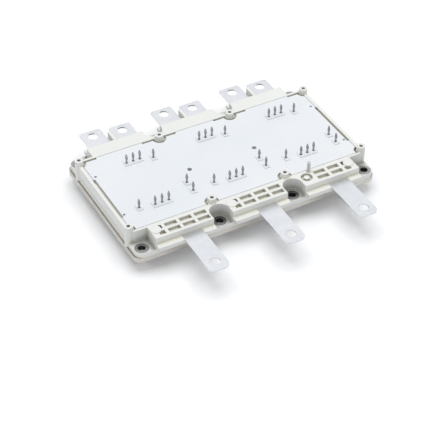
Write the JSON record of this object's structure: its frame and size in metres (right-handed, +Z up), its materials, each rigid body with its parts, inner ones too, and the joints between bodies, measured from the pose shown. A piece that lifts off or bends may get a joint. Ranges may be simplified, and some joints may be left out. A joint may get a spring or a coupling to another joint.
{
  "type": "silicon carbide power module",
  "caption": "Flat three-phase power module: pin-fin base plate, moulded frame with cored terminal blocks, flat lid, screw terminals on both long sides and press-fit signal pins.",
  "frame": {"origin": "middle of the base plate's sealing face, which is the underside of the plate at the root of the fins", "axes": "+X along the module from the first to the third phase, +Y to the direct-current terminals, +Z up out of the lid"},
  "size_m": [0.1546, 0.1414, 0.0279],
  "materials": {
    "base_nickel": "satin nickel plating on forged copper",
    "frame_ivory": "matt moulded, ivory",
    "lid_white": "matt moulded, cool white",
    "terminal_tin": "satin tin plating on rolled copper",
    "pin_tin": "dull tin plating",
    "bush_steel": "plain turned steel",
    "screw_steel": "zinc plated steel",
    "bead_sealant": "matt elastic adhesive",
    "gel": "clear soft silicone",
    "solder": "dull solder",
    "copper": "bare rolled copper",
    "ceramic": "matt fired ceramic",
    "die": "polished semiconductor",
    "wire": "drawn aluminium",
    "sensor": "matt dark ceramic"
  },
  "bodies": {
    "root": {"base_plate": "base_nickel", "housing_frame": "frame_ivory", "lid": "lid_white", "locating_pin": "bush_steel", "mounting_bushes": "bush_steel", "frame_screws": "screw_steel", "bonding_bead": "bead_sealant", "silicone_gel": "gel", "positive_tab_1": "terminal_tin", "positive_tab_2": "terminal_tin", "positive_tab_3": "terminal_tin", "negative_tab_1": "terminal_tin", "negative_tab_2": "terminal_tin", "negative_tab_3": "terminal_tin", "phase_tab_1": "terminal_tin", "phase_tab_2": "terminal_tin", "phase_tab_3": "terminal_tin", "high_side_pins_1": "pin_tin", "high_side_pins_2": "pin_tin", "high_side_pins_3": "pin_tin", "low_side_pins_1": "pin_tin", "low_side_pins_2": "pin_tin", "low_side_pins_3": "pin_tin", "sensor_pins_1": "pin_tin", "sensor_pins_2": "pin_tin", "sensor_pins_3": "pin_tin", "solder_layer_1": "solder", "solder_layer_2": "solder", "solder_layer_3": "solder", "back_copper_1": "copper", "back_copper_2": "copper", "back_copper_3": "copper", "ceramic_1": "ceramic", "ceramic_2": "ceramic", "ceramic_3": "ceramic", "top_copper_1": "copper", "top_copper_2": "copper", "top_copper_3": "copper", "high_side_dies_1": "die", "high_side_dies_2": "die", "high_side_dies_3": "die", "low_side_dies_1": "die", "low_side_dies_2": "die", "low_side_dies_3": "die", "high_side_clip_1": "copper", "high_side_clip_2": "copper", "high_side_clip_3": "copper", "low_side_clip_1": "copper", "low_side_clip_2": "copper", "low_side_clip_3": "copper", "gate_wires_1": "wire", "gate_wires_2": "wire", "gate_wires_3": "wire", "thermistor_1": "sensor", "thermistor_2": "sensor", "thermistor_3": "sensor"}
  },
  "joints": []
}
